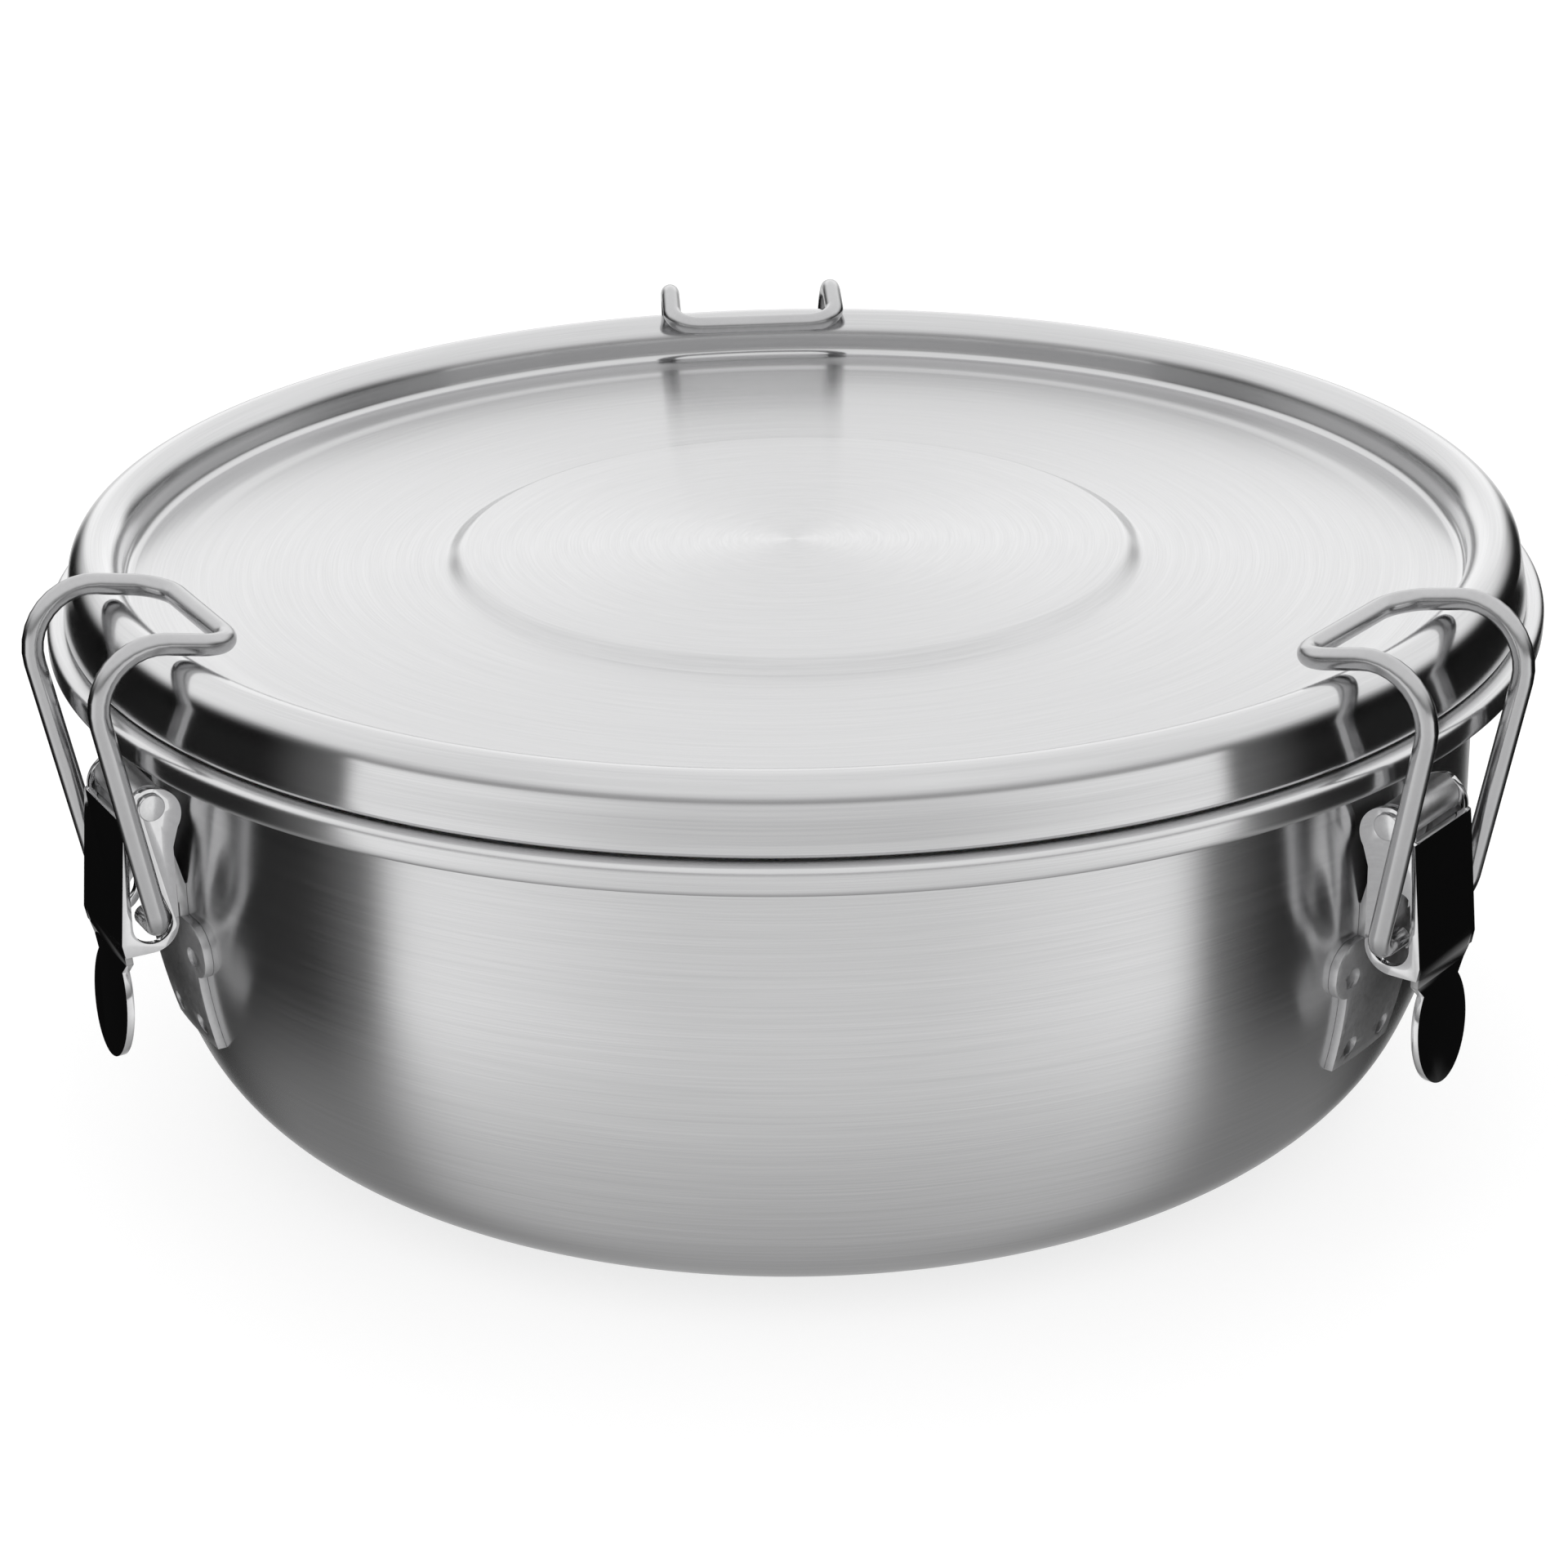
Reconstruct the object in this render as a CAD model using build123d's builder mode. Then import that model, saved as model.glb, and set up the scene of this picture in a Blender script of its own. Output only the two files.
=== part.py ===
"""Round steel lunch box: a bowl, a lid with its gasket, and three over-centre wire latches.

Row frame: +Z up, origin on the bowl's axis at the centre of its flat base. Millimetres.
"""

import os
from math import asin
from math import cos
from math import degrees
from math import pi
from math import radians
from math import sin

from build123d import *

os.makedirs("parts", exist_ok=True)

# Where each latch stands round the bowl, in degrees from +X
LATCHES = {"back": 93.5, "left": 208.2, "right": 322.7}

# Bowl
SHEET = 0.7
RIM_Z = 56.0
WALL_R = 74.9
WALL_STRAIGHT_BOTTOM = RIM_Z - 20.0
BELLY_RADIUS = 63.0
BELLY_TURN = 23.0
BEAD_R = 80.5
BEAD_RADIUS = 1.5
BEAD_Z = RIM_Z - 0.65
NECK_FILLET = 1.5

# Lid
SKIRT_BOTTOM_R = 80.1
SKIRT_BOTTOM_Z = RIM_Z + 0.95
CROWN_R = 76.4
CROWN_Z = RIM_Z + 5.6
CROWN_RADIUS = 2.9
PANEL_Z = RIM_Z + 3.5
PANEL_FILLET = 1.0
STEP_R = 68.0
STEP_WIDTH = 0.8
STEP_DROP = 0.2
BOSS_OUTER_R = 38.9
BOSS_INNER_R = 36.2
BOSS_RISE = 1.1

# Gasket in the lid's channel
GASKET_OUTER_R = 78.1
GASKET_TOP_Z = RIM_Z + 6.0
GASKET_GAP = 0.1
GROOVE_DEPTH = 1.6

# Latch hinge, and the bail's pivot in the lever: radius from the bowl's axis, then height
HINGE_R = 78.5
HINGE_Z = RIM_Z - 8.6
PIVOT_R = 79.6
PIVOT_Z = RIM_Z - 20.9

# Bracket welded to the wall
BRACKET_SHEET = 0.9
WELD_GAP = 0.02
TAB_BOTTOM_Z = RIM_Z - 37.8
TAB_BOTTOM_HALF = 5.6
TAB_TOP_HALF = 6.6
EAR_BOTTOM_Z = RIM_Z - 28.6
EAR_TOP_Z = RIM_Z - 22.2
EAR_HALF = 9.0
EAR_ROUND = 2.9
EAR_OVERLAP = 1.0
STEM_HALF = 4.4
STEM_ROOT_Z = HINGE_Z - 12.0
STEM_SKIN_TOP_Z = HINGE_Z - 8.5
STEM_BEND_LOW_Z = HINGE_Z - 10.0
STEM_BEND_HIGH_Z = HINGE_Z - 4.0
KNUCKLE_HALF = 4.95
KNUCKLE_RADIUS = 2.0
DIMPLE_RADIUS = 1.1
DIMPLE_DEPTH = 0.3
DIMPLES = ((-5.9, RIM_Z - 26.4), (5.9, RIM_Z - 26.4), (-3.3, RIM_Z - 35.6), (3.3, RIM_Z - 35.6))

# Hinge pin
PIN_RADIUS = 1.0
PIN_HEAD_RADIUS = 1.45
PIN_HEAD_INNER = 6.0
PIN_HEAD_OUTER = 6.5
RUNNING_GAP = 0.05

# Lever
LEVER_SHEET = 0.8
LEVER_HALF = 5.9
LEVER_KNUCKLE_RADIUS = KNUCKLE_RADIUS - 0.1
FACE_TOP = (81.5, RIM_Z - 10.1)
FACE_BEND = (82.7, RIM_Z - 23.4)
FACET_END = (82.1, RIM_Z - 26.2)
TIP = (83.0, RIM_Z - 38.2)
THUMB_HALF = 5.1
THUMB_SHOULDER_HALF = THUMB_HALF - 0.2
THUMB_TOP_Z = FACET_END[1] + 0.6
THUMB_NOTCH_Z = FACET_END[1] - 5.0
FACE_SIDE_BOTTOM_Z = FACE_BEND[1] - 0.6
CORNER_ROUND = 1.2
LOBE_CENTRE = (78.2, RIM_Z - 9.8)
LOBE_RADIUS = 3.0
FLANGE_INNER_R = 76.35
FLANGE_WAIST_Z = HINGE_Z - 5.0
FLANGE_FRONT_R = FACE_BEND[0] - 0.3
FOOT_CENTRE = (79.35, RIM_Z - 21.9)
FOOT_RADIUS = 3.0
SLOT_BOTTOM = (79.2, RIM_Z - 21.7)
SLOT_BOTTOM_RADIUS = 2.2
SLOT_TOP = (80.0, RIM_Z - 17.0)
SLOT_TOP_RADIUS = 1.4

# Bail
WIRE_RADIUS = 1.15
FOOT_END_HALF = 4.3
FOOT_BEND_HALF = 9.4
ARM_HALF = 10.3
ARM_LEAN = 0.195
HOOK_R = 69.5
HOOK_Z = RIM_Z + 8.7
HOOK_SLOPE = 0.2126
FOOT_BEND_RADIUS = 2.1
CROWN_BEND_RADIUS = 6.2
HOOK_BEND_RADIUS = 3.8

# Tools that cut an outline through a curved or bent sheet
CUT_DEPTH = 20.0
CUT_MARGIN = 2.0
SKIN_ARC = 20.0


def on_arc(centre, radius, angle):
    """A point on a circle in the radius and height plane, at an angle in degrees."""
    return (centre[0] + radius * cos(radians(angle)), centre[1] + radius * sin(radians(angle)))


def belly_centre():
    return (WALL_R - BELLY_RADIUS, WALL_STRAIGHT_BOTTOM)


def heel():
    """The small arc that joins the belly to the flat base: its centre and radius."""
    end = on_arc(belly_centre(), BELLY_RADIUS, -BELLY_TURN)
    radius = end[1] / (1 - sin(radians(BELLY_TURN)))
    return (end[0] - radius * cos(radians(BELLY_TURN)), radius), radius


def export(shape, name, azimuth=0.0):
    """Turn a finished piece round the bowl's axis to its place and write it."""
    placed = shape.rotate(Axis.Z, azimuth)
    placed.label = name
    export_step(placed, f"parts/{name}.step")


def bowl_wall_lines(offset):
    """The bowl's wall from the axis to the neck, as a surface this far outside the outer one."""
    heel_centre, heel_radius = heel()
    belly = belly_centre()
    belly_r = BELLY_RADIUS + offset
    heel_r = heel_radius + offset
    Line((0, -offset), (heel_centre[0], -offset))
    ThreePointArc(
        (heel_centre[0], -offset),
        on_arc(heel_centre, heel_r, -(90 + BELLY_TURN) / 2),
        on_arc(heel_centre, heel_r, -BELLY_TURN),
    )
    ThreePointArc(
        on_arc(belly, belly_r, -BELLY_TURN),
        on_arc(belly, belly_r, -BELLY_TURN / 2),
        (WALL_R + offset, WALL_STRAIGHT_BOTTOM),
    )


def make_bowl():
    """A drawn bowl with a ledge round its mouth and a rolled bead at the ledge's edge."""
    bead = (BEAD_R, BEAD_Z)
    ledge_bottom = BEAD_Z - BEAD_RADIUS
    ledge_top = ledge_bottom + SHEET
    inner_fillet = NECK_FILLET + SHEET
    neck = (WALL_R + NECK_FILLET, ledge_bottom - NECK_FILLET)
    curl_radius = BEAD_RADIUS - SHEET
    with BuildPart() as bowl:
        with BuildSketch(Plane.XZ):
            with BuildLine():
                bowl_wall_lines(0)
                Line((WALL_R, WALL_STRAIGHT_BOTTOM), (WALL_R, neck[1]))
                ThreePointArc(
                    (WALL_R, neck[1]),
                    on_arc(neck, NECK_FILLET, 135),
                    (neck[0], ledge_bottom),
                )
                Line((neck[0], ledge_bottom), (BEAD_R, ledge_bottom))
                ThreePointArc(
                    (BEAD_R, ledge_bottom),
                    on_arc(bead, BEAD_RADIUS, 45),
                    on_arc(bead, BEAD_RADIUS, 180),
                )
                Line(on_arc(bead, BEAD_RADIUS, 180), on_arc(bead, curl_radius, 180))
                ThreePointArc(
                    on_arc(bead, curl_radius, 180),
                    on_arc(bead, curl_radius, 45),
                    (BEAD_R, ledge_top),
                )
                Line((BEAD_R, ledge_top), (neck[0], ledge_top))
                ThreePointArc(
                    (neck[0], ledge_top),
                    on_arc(neck, inner_fillet, 135),
                    (WALL_R - SHEET, neck[1]),
                )
                Line((WALL_R - SHEET, neck[1]), (WALL_R - SHEET, WALL_STRAIGHT_BOTTOM))
                bowl_wall_lines(-SHEET)
                Line((0, SHEET), (0, 0))
            make_face()
        revolve(axis=Axis.Z)
    export(bowl.part, "bowl")


def lid_lines(offset):
    """The lid's section, from the skirt's edge over the crown to the axis, this far outside."""
    crown = (CROWN_R, CROWN_Z)
    radius = CROWN_RADIUS + offset
    wall_r = CROWN_R - radius
    panel_z = PANEL_Z + offset
    fillet = PANEL_FILLET - offset
    corner = (wall_r - fillet, panel_z + fillet)
    step_outer = STEP_R + STEP_WIDTH / 2
    step_inner = STEP_R - STEP_WIDTH / 2
    low_z = panel_z - STEP_DROP
    Line((SKIRT_BOTTOM_R + offset, SKIRT_BOTTOM_Z), (CROWN_R + radius, CROWN_Z))
    ThreePointArc((CROWN_R + radius, CROWN_Z), on_arc(crown, radius, 90), (wall_r, CROWN_Z))
    Line((wall_r, CROWN_Z), (wall_r, corner[1]))
    ThreePointArc((wall_r, corner[1]), on_arc(corner, fillet, -45), (corner[0], panel_z))
    Polyline(
        (corner[0], panel_z),
        (step_outer, panel_z),
        (step_inner, low_z),
        (BOSS_OUTER_R, low_z),
        (BOSS_INNER_R, low_z + BOSS_RISE),
        (0, low_z + BOSS_RISE),
    )


def make_lid():
    """A pressed lid: an upside-down channel round the rim and a sunk panel with a raised middle."""
    top_z = PANEL_Z - STEP_DROP + BOSS_RISE
    with BuildPart() as lid:
        with BuildSketch(Plane.XZ):
            with BuildLine():
                lid_lines(0)
                lid_lines(-SHEET)
                Line((SKIRT_BOTTOM_R, SKIRT_BOTTOM_Z), (SKIRT_BOTTOM_R - SHEET, SKIRT_BOTTOM_Z))
                Line((0, top_z), (0, top_z - SHEET))
            make_face()
        revolve(axis=Axis.Z)
    export(lid.part, "lid")


def make_gasket():
    """A soft ring in the lid's channel, with a groove underneath that leaves two lips on the ledge."""
    inner_r = CROWN_R - CROWN_RADIUS + SHEET
    bottom_z = BEAD_Z - BEAD_RADIUS + SHEET + GASKET_GAP
    width = GASKET_OUTER_R - inner_r
    middle = inner_r + width / 2
    with BuildPart() as gasket:
        with BuildSketch(Plane.XZ):
            with BuildLine():
                Polyline(
                    (inner_r, bottom_z),
                    (inner_r + width / 4, bottom_z),
                    (middle, bottom_z + GROOVE_DEPTH),
                    (GASKET_OUTER_R - width / 4, bottom_z),
                    (GASKET_OUTER_R, bottom_z),
                    (GASKET_OUTER_R, GASKET_TOP_Z - width / 2),
                )
                ThreePointArc(
                    (GASKET_OUTER_R, GASKET_TOP_Z - width / 2),
                    (middle, GASKET_TOP_Z),
                    (inner_r, GASKET_TOP_Z - width / 2),
                )
                Line((inner_r, GASKET_TOP_Z - width / 2), (inner_r, bottom_z))
            make_face()
        revolve(axis=Axis.Z)
    export(gasket.part, "gasket")


def bracket_skin(outline):
    """The strip of sheet that lies on the wall, before its outline is cut."""
    inner = WELD_GAP
    outer = WELD_GAP + BRACKET_SHEET
    belly = belly_centre()
    low_angle = -degrees(asin((WALL_STRAIGHT_BOTTOM - TAB_BOTTOM_Z + CUT_MARGIN) / BELLY_RADIUS))
    with BuildPart() as skin:
        with BuildSketch(Plane.XZ):
            with BuildLine():
                ThreePointArc(
                    on_arc(belly, BELLY_RADIUS + inner, low_angle),
                    on_arc(belly, BELLY_RADIUS + inner, low_angle / 2),
                    (WALL_R + inner, WALL_STRAIGHT_BOTTOM),
                )
                Polyline(
                    (WALL_R + inner, WALL_STRAIGHT_BOTTOM),
                    (WALL_R + inner, STEM_SKIN_TOP_Z),
                    (WALL_R + outer, STEM_SKIN_TOP_Z),
                    (WALL_R + outer, WALL_STRAIGHT_BOTTOM),
                )
                ThreePointArc(
                    (WALL_R + outer, WALL_STRAIGHT_BOTTOM),
                    on_arc(belly, BELLY_RADIUS + outer, low_angle / 2),
                    on_arc(belly, BELLY_RADIUS + outer, low_angle),
                )
                Line(
                    on_arc(belly, BELLY_RADIUS + outer, low_angle),
                    on_arc(belly, BELLY_RADIUS + inner, low_angle),
                )
            make_face()
        revolve(axis=Axis.Z, revolution_arc=SKIN_ARC)
    return skin.part.rotate(Axis.Z, -SKIN_ARC / 2) & outline


def bracket_outline():
    """The bracket's outline seen from outside: a tab, two round ears and the root of the stem."""
    with BuildPart() as outline:
        with BuildSketch(Plane.YZ.offset(WALL_R - CUT_DEPTH / 2)):
            with BuildLine():
                Polyline(
                    (-TAB_BOTTOM_HALF, TAB_BOTTOM_Z),
                    (TAB_BOTTOM_HALF, TAB_BOTTOM_Z),
                    (TAB_TOP_HALF, EAR_BOTTOM_Z + EAR_OVERLAP),
                    (STEM_HALF, EAR_TOP_Z),
                    (STEM_HALF, STEM_BEND_LOW_Z),
                    (-STEM_HALF, STEM_BEND_LOW_Z),
                    (-STEM_HALF, EAR_TOP_Z),
                    (-TAB_TOP_HALF, EAR_BOTTOM_Z + EAR_OVERLAP),
                    (-TAB_BOTTOM_HALF, TAB_BOTTOM_Z),
                )
            make_face()
            with Locations((0, (EAR_BOTTOM_Z + EAR_TOP_Z) / 2)):
                RectangleRounded(2 * EAR_HALF, EAR_TOP_Z - EAR_BOTTOM_Z, EAR_ROUND)
        extrude(amount=CUT_DEPTH)
    return outline.part


def make_bracket(name, azimuth):
    """A plate spot-welded to the wall, whose stem rises clear of it and rolls round the hinge pin."""
    half_sheet = BRACKET_SHEET / 2
    root_r = WALL_R + WELD_GAP + half_sheet
    knuckle_r = HINGE_R - KNUCKLE_RADIUS + half_sheet
    skin = bracket_skin(bracket_outline())
    with BuildPart() as bracket:
        add(skin)
        with BuildSketch(Plane.XZ):
            with BuildLine():
                Polyline(
                    (root_r - half_sheet, STEM_ROOT_Z),
                    (root_r + half_sheet, STEM_ROOT_Z),
                    (root_r + half_sheet, STEM_BEND_LOW_Z),
                    (knuckle_r + half_sheet, STEM_BEND_HIGH_Z),
                    (knuckle_r + half_sheet, HINGE_Z),
                    (knuckle_r - half_sheet, HINGE_Z),
                    (knuckle_r - half_sheet, STEM_BEND_HIGH_Z),
                    (root_r - half_sheet, STEM_BEND_LOW_Z),
                    close=True,
                )
            make_face()
        extrude(amount=STEM_HALF, both=True)
        with BuildSketch(Plane.XZ):
            with Locations((HINGE_R, HINGE_Z)):
                Circle(KNUCKLE_RADIUS)
        extrude(amount=KNUCKLE_HALF, both=True)
        with BuildSketch(Plane.XZ):
            with Locations((HINGE_R, HINGE_Z)):
                Circle(PIN_RADIUS + RUNNING_GAP / 2)
        extrude(amount=KNUCKLE_HALF, both=True, mode=Mode.SUBTRACT)
        for across, height in DIMPLES:
            drop = max(0.0, WALL_STRAIGHT_BOTTOM - height)
            bulge = BELLY_RADIUS - (BELLY_RADIUS**2 - drop**2) ** 0.5
            face_r = (WALL_R - bulge) - across**2 / (2 * WALL_R) + BRACKET_SHEET
            with BuildSketch(Plane.YZ.offset(face_r - DIMPLE_DEPTH)):
                with Locations((across, height)):
                    Circle(DIMPLE_RADIUS)
            extrude(amount=CUT_MARGIN, mode=Mode.SUBTRACT)
    export(bracket.part, name + "_bracket", azimuth)


def make_hinge_pin(name, azimuth):
    """A plain pin with a flattened head at each end."""
    with BuildPart() as pin:
        with BuildSketch(Plane.XZ):
            with Locations((HINGE_R, HINGE_Z)):
                Circle(PIN_RADIUS)
        extrude(amount=PIN_HEAD_OUTER, both=True)
        for side in (-1, 1):
            start = min(side * PIN_HEAD_INNER, side * PIN_HEAD_OUTER)
            with BuildSketch(Plane.XZ.offset(start)):
                with Locations((HINGE_R, HINGE_Z)):
                    Circle(PIN_HEAD_RADIUS)
            extrude(amount=PIN_HEAD_OUTER - PIN_HEAD_INNER)
    export(pin.part, name + "_hinge_pin", azimuth)


def lever_front_outline():
    """The lever seen from outside: straight sides, then an oval thumb tab."""
    oval_half_height = (THUMB_TOP_Z - TIP[1]) / 2
    with BuildPart() as outline:
        with BuildSketch(Plane.YZ.offset(LOBE_CENTRE[0] - CUT_DEPTH / 2)) as face:
            with BuildLine():
                Polyline(
                    (LEVER_HALF, FACE_TOP[1]),
                    (LEVER_HALF, FACE_SIDE_BOTTOM_Z),
                    (THUMB_SHOULDER_HALF, FACET_END[1]),
                    (0, THUMB_NOTCH_Z),
                    (-THUMB_SHOULDER_HALF, FACET_END[1]),
                    (-LEVER_HALF, FACE_SIDE_BOTTOM_Z),
                    (-LEVER_HALF, FACE_TOP[1]),
                    close=True,
                )
            make_face()
            fillet(face.vertices().group_by(Axis.Z)[-1], CORNER_ROUND)
            with Locations((0, THUMB_TOP_Z - oval_half_height)):
                Ellipse(THUMB_HALF, oval_half_height)
        extrude(amount=CUT_DEPTH)
    return outline.part


def lever_front():
    """The bent front sheet: face, short facet and thumb tab."""
    with BuildPart() as front:
        with BuildSketch(Plane.XZ):
            with BuildLine():
                Polyline(
                    FACE_TOP,
                    FACE_BEND,
                    FACET_END,
                    TIP,
                    (TIP[0] - LEVER_SHEET, TIP[1]),
                    (FACET_END[0] - LEVER_SHEET, FACET_END[1]),
                    (FACE_BEND[0] - LEVER_SHEET, FACE_BEND[1]),
                    (FACE_TOP[0] - LEVER_SHEET, FACE_TOP[1]),
                    close=True,
                )
            make_face()
        extrude(amount=LEVER_HALF, both=True)
    return front.part & lever_front_outline()


def bail_slot():
    """A flange's opening round the bail's foot: wide at the bottom, narrower above."""
    with BuildSketch() as slot:
        with Locations(SLOT_BOTTOM):
            Circle(SLOT_BOTTOM_RADIUS)
        with Locations(SLOT_TOP):
            Circle(SLOT_TOP_RADIUS)
        make_hull()
    return slot.sketch


def lever_flange(start):
    """One side flange, with its hinge hole and the slot for the bail's foot, from this plane on."""
    slot = bail_slot()
    with BuildPart() as flange:
        with BuildSketch(Plane.XZ.offset(start)):
            with BuildLine():
                Polyline(
                    FACE_TOP,
                    FACE_BEND,
                    (FLANGE_FRONT_R, FOOT_CENTRE[1] - FOOT_RADIUS),
                    (FOOT_CENTRE[0], FOOT_CENTRE[1] - FOOT_RADIUS),
                    (FLANGE_INNER_R, FOOT_CENTRE[1]),
                    (FLANGE_INNER_R, FLANGE_WAIST_Z),
                    (LOBE_CENTRE[0] - LOBE_RADIUS, LOBE_CENTRE[1]),
                    (HINGE_R, HINGE_Z),
                    close=True,
                )
            make_face()
            with Locations(LOBE_CENTRE):
                Circle(LOBE_RADIUS)
            with Locations((HINGE_R, HINGE_Z)):
                Circle(LEVER_KNUCKLE_RADIUS)
            with Locations(FOOT_CENTRE):
                Circle(FOOT_RADIUS)
            with Locations((HINGE_R, HINGE_Z)):
                Circle(PIN_RADIUS + RUNNING_GAP, mode=Mode.SUBTRACT)
            add(slot, mode=Mode.SUBTRACT)
        extrude(amount=LEVER_SHEET)
    return flange.part


def make_lever(name, azimuth):
    """A folded lever: a front sheet with a thumb tab, and a flange on each side."""
    pieces = [lever_front(), lever_flange(-LEVER_HALF), lever_flange(LEVER_HALF - LEVER_SHEET)]
    with BuildPart() as lever:
        for piece in pieces:
            add(piece)
    export(lever.part, name + "_lever", azimuth)


def bail_path():
    """Corners of the bail's centre line, from one foot over the lid's crown to the other."""
    reach = PIVOT_R - HOOK_R - ARM_LEAN * (PIVOT_Z - HOOK_Z)
    rise = HOOK_SLOPE * reach / (1 - ARM_LEAN * HOOK_SLOPE)
    shoulder_z = HOOK_Z + rise
    shoulder_r = PIVOT_R + ARM_LEAN * (shoulder_z - PIVOT_Z)
    half = [
        (PIVOT_R, -FOOT_END_HALF, PIVOT_Z),
        (PIVOT_R, -FOOT_BEND_HALF, PIVOT_Z),
        (shoulder_r, -ARM_HALF, shoulder_z),
        (HOOK_R, -ARM_HALF, HOOK_Z),
    ]
    return half + [(r, -t, z) for r, t, z in reversed(half)]


def make_bail(name, azimuth):
    """One bent wire: two feet in the lever's slots, two arms and the hook bar."""
    bends = [FOOT_BEND_RADIUS, CROWN_BEND_RADIUS, HOOK_BEND_RADIUS]
    with BuildPart() as bail:
        with BuildLine() as path:
            FilletPolyline(*bail_path(), radius=bends + bends[::-1])
        with BuildSketch(Plane.XZ.offset(FOOT_END_HALF)):
            with Locations((PIVOT_R, PIVOT_Z)):
                Circle(WIRE_RADIUS)
        sweep(path=path.line)
    wire_length = sum(edge.length for edge in path.line.edges())
    share = bail.part.volume / (wire_length * pi * WIRE_RADIUS**2)
    print(name, "bail: volume over section times length", round(share, 4))
    export(bail.part, name + "_bail", azimuth)


make_bowl()
make_lid()
make_gasket()
for latch_name, latch_azimuth in LATCHES.items():
    make_bracket(latch_name, latch_azimuth)
    make_hinge_pin(latch_name, latch_azimuth)
    make_lever(latch_name, latch_azimuth)
    make_bail(latch_name, latch_azimuth)
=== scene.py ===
"""Round steel lunch box: the looks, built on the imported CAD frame.

Metres, +Z up, origin on the bowl's axis at its base. -Y is the front, where the camera stands.
"""

from math import copysign, cos, pi, radians, sin

import bmesh
import bpy
from mathutils import Matrix, Vector


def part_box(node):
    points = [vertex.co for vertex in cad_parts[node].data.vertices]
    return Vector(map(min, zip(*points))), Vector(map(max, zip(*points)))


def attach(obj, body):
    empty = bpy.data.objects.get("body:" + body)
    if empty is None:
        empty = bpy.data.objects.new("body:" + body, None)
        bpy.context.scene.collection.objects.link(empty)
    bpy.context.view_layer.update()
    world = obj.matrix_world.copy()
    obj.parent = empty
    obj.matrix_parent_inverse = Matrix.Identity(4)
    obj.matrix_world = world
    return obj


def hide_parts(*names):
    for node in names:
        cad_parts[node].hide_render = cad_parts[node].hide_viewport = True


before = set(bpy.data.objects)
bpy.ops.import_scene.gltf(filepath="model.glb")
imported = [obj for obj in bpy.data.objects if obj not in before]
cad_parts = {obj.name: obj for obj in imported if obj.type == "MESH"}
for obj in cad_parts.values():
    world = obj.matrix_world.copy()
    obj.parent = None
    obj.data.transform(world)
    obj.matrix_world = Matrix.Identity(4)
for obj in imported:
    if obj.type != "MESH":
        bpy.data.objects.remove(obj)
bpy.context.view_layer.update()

MM = 0.001

# Latches, in degrees from +X, as the CAD has them
LATCHES = {"back": 93.5, "left": 208.2, "right": 322.7}

# Overall sizes come from the frame
BOWL_LOW, BOWL_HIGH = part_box("bowl")
LID_LOW, LID_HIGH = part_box("lid")
GASKET_LOW, GASKET_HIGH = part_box("gasket")

# Bowl
SHEET = 0.7 * MM
RIM = 56.0 * MM
WALL_R = 74.9 * MM
WALL_STRAIGHT_BOTTOM = RIM - 20.0 * MM
BELLY_RADIUS = 63.0 * MM
BELLY_TURN = 23.0
BEAD_RADIUS = 1.5 * MM
BEAD_SQUARENESS = 4.0
BEAD = (BOWL_HIGH.x - BEAD_RADIUS, BOWL_HIGH.z - BEAD_RADIUS)
NECK_FILLET = 1.5 * MM

# Lid
SKIRT_BOTTOM = (80.1 * MM, LID_LOW.z)
SKIRT_CURL = 0.6 * MM
CROWN_RADIUS = 2.9 * MM
CROWN = (76.4 * MM, LID_HIGH.z - CROWN_RADIUS)
PANEL_Z = RIM + 3.5 * MM
PANEL_FILLET = 1.0 * MM
STEP_R = 68.0 * MM
STEP_WIDTH = 2.2 * MM
STEP_DROP = 0.2 * MM
BOSS_OUTER_R = 38.9 * MM
BOSS_INNER_R = 36.2 * MM
BOSS_RISE = 1.1 * MM

# Bail: corners of the wire's centre line at azimuth 0, then the bends' radii
WIRE_RADIUS = 1.15 * MM
PIVOT = (79.6 * MM, RIM - 20.9 * MM)
FOOT_END_HALF = 4.3 * MM
FOOT_BEND_HALF = 9.4 * MM
ARM_HALF = 10.3 * MM
ARM_LEAN = 0.195
HOOK = (69.5 * MM, RIM + 8.7 * MM)
HOOK_SLOPE = 0.2126
BAIL_BENDS = (2.1 * MM, 6.2 * MM, 3.8 * MM)

# Edges taken over from the CAD shapes: how far they are rounded, and from which angle in degrees
EDGE_ROUNDING = 0.12 * MM
EDGE_FROM = 35
FLAT_WITHIN = 0.4

# The wire's cut end: its depth over the wire's radius, then shares of the radius and of that depth
WIRE_END = 0.35
WIRE_END_STEPS = ((0.55, 0.0), (0.86, 0.35))

# Gasket: depth of the groove between its lips
GASKET_GROOVE = 1.6 * MM

# Mesh fineness: sides of a round, and steps along the stretches of a profile
ROUND_SEGMENTS = 360
WIRE_SIDES = 24
FILLET_STEPS = 8
HEEL_STEPS = 20
BELLY_STEPS = 18
BEAD_STEPS = 48
CROWN_STEPS = 28
BOSS_STEPS = 14


# ---------------------------------------------------------------- meshes


def new_piece(name, mesh, body, slot_name, material, *nodes):
    """A finished mesh as a piece that rides on a body and stands for CAD nodes."""
    piece = bpy.data.objects.new(name, mesh)
    bpy.context.scene.collection.objects.link(piece)
    mesh.materials.clear()
    mesh.materials.append(material)
    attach(piece, body)
    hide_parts(*nodes)
    return piece


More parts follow.
